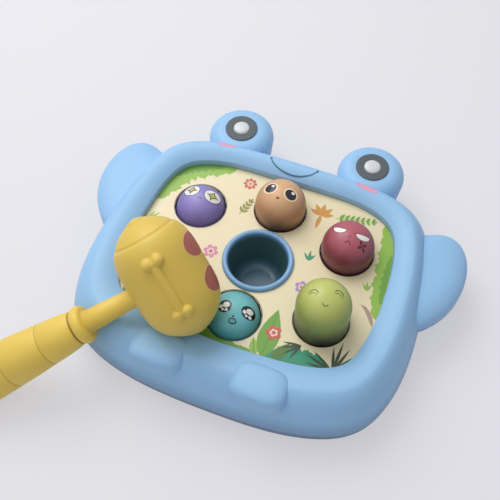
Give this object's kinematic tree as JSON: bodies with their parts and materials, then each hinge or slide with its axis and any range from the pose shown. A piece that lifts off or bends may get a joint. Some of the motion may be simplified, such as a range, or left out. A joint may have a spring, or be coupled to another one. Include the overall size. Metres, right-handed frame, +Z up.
{
  "type": "mole pounding game",
  "caption": "Frog-shaped board with spring-loaded mole heads that turn as they are knocked down, a centre cup, and a toy hammer lying on it.",
  "frame": {"origin": "middle of the flat resting pad under the board, under the middle of the centre cup", "axes": "+Z up out of the deck, +Y towards the eyes, +X to the right of a player who sees the eyes at the top"},
  "size_m": [0.2854, 0.273, 0.1062],
  "materials": {
    "frame_blue": "light blue, glossy moulded plastic",
    "tray_blue": "darker blue moulded plastic",
    "plate": "cream moulded plastic",
    "print": "cream printed sheet with flowers and leaves",
    "cup_blue": "blue, glossy moulded plastic",
    "ring_grey": "grey, satin",
    "button_white": "white, glossy",
    "mole_purple": "purple, glossy",
    "mole_orange": "tan orange, glossy",
    "mole_red": "maroon, glossy",
    "mole_pink": "pink, glossy",
    "mole_teal": "teal, glossy",
    "mole_green": "yellow green, glossy",
    "carrier_white": "white, low friction",
    "post_white": "off-white, low friction",
    "spring_steel": "drawn wire",
    "screw_steel": "zinc plated",
    "foot_rubber": "dark grey, matt",
    "hammer_yellow": "yellow, satin"
  },
  "bodies": {
    "board": {"top_shell": "frame_blue", "bottom_shell": "tray_blue", "deck_plate": "plate", "deck_print": "print", "centre_cup": "cup_blue", "eye_ring_left": "ring_grey", "eye_ring_right": "ring_grey", "eye_button_left": "button_white", "eye_button_right": "button_white", "rubber_foot_1": "foot_rubber", "rubber_foot_2": "foot_rubber", "rubber_foot_3": "foot_rubber", "rubber_foot_4": "foot_rubber", "shell_screw_1": "screw_steel", "shell_screw_2": "screw_steel", "shell_screw_3": "screw_steel", "shell_screw_4": "screw_steel", "shell_screw_5": "screw_steel", "shell_screw_6": "screw_steel", "deck_screw_1": "screw_steel", "deck_screw_2": "screw_steel", "deck_screw_3": "screw_steel", "deck_screw_4": "screw_steel", "mole_purple_post": "post_white", "mole_orange_post": "post_white", "mole_red_post": "post_white", "mole_pink_post": "post_white", "mole_teal_post": "post_white", "mole_green_post": "post_white"},
    "carrier_purple": {"mole_purple_carrier": "carrier_white", "mole_purple_spring": "spring_steel"},
    "head_purple": {"mole_purple_head": "mole_purple"},
    "carrier_orange": {"mole_orange_carrier": "carrier_white", "mole_orange_spring": "spring_steel"},
    "head_orange": {"mole_orange_head": "mole_orange"},
    "carrier_red": {"mole_red_carrier": "carrier_white", "mole_red_spring": "spring_steel"},
    "head_red": {"mole_red_head": "mole_red"},
    "carrier_pink": {"mole_pink_carrier": "carrier_white", "mole_pink_spring": "spring_steel"},
    "head_pink": {"mole_pink_head": "mole_pink"},
    "carrier_teal": {"mole_teal_carrier": "carrier_white", "mole_teal_spring": "spring_steel"},
    "head_teal": {"mole_teal_head": "mole_teal"},
    "carrier_green": {"mole_green_carrier": "carrier_white", "mole_green_spring": "spring_steel"},
    "head_green": {"mole_green_head": "mole_green"},
    "hammer": {"hammer_head": "hammer_yellow", "hammer_cap": "hammer_yellow", "hammer_handle": "hammer_yellow", "hammer_end_plug": "hammer_yellow"}
  },
  "joints": [
    {"name": "mole_purple_press", "type": "slide", "parent": "board", "child": "carrier_purple", "axis": [0, 0, 1], "range_m": [-0.0024, 0.025], "stiffness_N_per_m": 300, "deforming": ["mole_purple_spring"]},
    {"name": "mole_purple_turn", "type": "hinge", "parent": "carrier_purple", "child": "head_purple", "pos_m": [-0.05295, 0.027, 0.036], "axis": [0, 0, 1], "range_deg": [-17.38, 180.1]},
    {"name": "mole_orange_press", "type": "slide", "parent": "board", "child": "carrier_orange", "axis": [0, 0, 1], "range_m": [-0.0149, 0.0125], "stiffness_N_per_m": 300, "deforming": ["mole_orange_spring"]},
    {"name": "mole_orange_turn", "type": "hinge", "parent": "carrier_orange", "child": "head_orange", "pos_m": [0, 0.043, 0.036], "axis": [0, 0, 1], "range_deg": [-107.38, 90.1]},
    {"name": "mole_red_press", "type": "slide", "parent": "board", "child": "carrier_red", "axis": [0, 0, 1], "range_m": [-0.0149, 0.0125], "stiffness_N_per_m": 300, "deforming": ["mole_red_spring"]},
    {"name": "mole_red_turn", "type": "hinge", "parent": "carrier_red", "child": "head_red", "pos_m": [0.05295, 0.027, 0.036], "axis": [0, 0, 1], "range_deg": [-107.38, 90.1]},
    {"name": "mole_pink_press", "type": "slide", "parent": "board", "child": "carrier_pink", "axis": [0, 0, 1], "range_m": [-0.0122, 0], "stiffness_N_per_m": 300, "deforming": ["mole_pink_spring"]},
    {"name": "mole_pink_turn", "type": "hinge", "parent": "carrier_pink", "child": "head_pink", "pos_m": [-0.05295, -0.027, 0.036], "axis": [0, 0, 1], "range_deg": [-87.94, 0.1]},
    {"name": "mole_teal_press", "type": "slide", "parent": "board", "child": "carrier_teal", "axis": [0, 0, 1], "range_m": [-0.0024, 0.006], "stiffness_N_per_m": 300, "deforming": ["mole_teal_spring"]},
    {"name": "mole_teal_turn", "type": "hinge", "parent": "carrier_teal", "child": "head_teal", "pos_m": [0, -0.043, 0.036], "axis": [0, 0, 1], "range_deg": [-17.38, 43.3]},
    {"name": "mole_green_press", "type": "slide", "parent": "board", "child": "carrier_green", "axis": [0, 0, 1], "range_m": [-0.0274, 0], "stiffness_N_per_m": 300, "deforming": ["mole_green_spring"]},
    {"name": "mole_green_turn", "type": "hinge", "parent": "carrier_green", "child": "head_green", "pos_m": [0.05295, -0.027, 0.036], "axis": [0, 0, 1], "range_deg": [-197.38, 0.1]},
    {"name": "hammer_lift", "type": "slide", "parent": "board", "child": "hammer", "axis": [0, 0, 1], "range_m": [0, 0.12]}
  ],
  "couplings": [
    {"joint": "mole_purple_turn", "follows": "mole_purple_press", "rad_per_m": 125.66},
    {"joint": "mole_orange_turn", "follows": "mole_orange_press", "rad_per_m": 125.66},
    {"joint": "mole_red_turn", "follows": "mole_red_press", "rad_per_m": 125.66},
    {"joint": "mole_pink_turn", "follows": "mole_pink_press", "rad_per_m": 125.66},
    {"joint": "mole_teal_turn", "follows": "mole_teal_press", "rad_per_m": 125.66},
    {"joint": "mole_green_turn", "follows": "mole_green_press", "rad_per_m": 125.66}
  ]
}
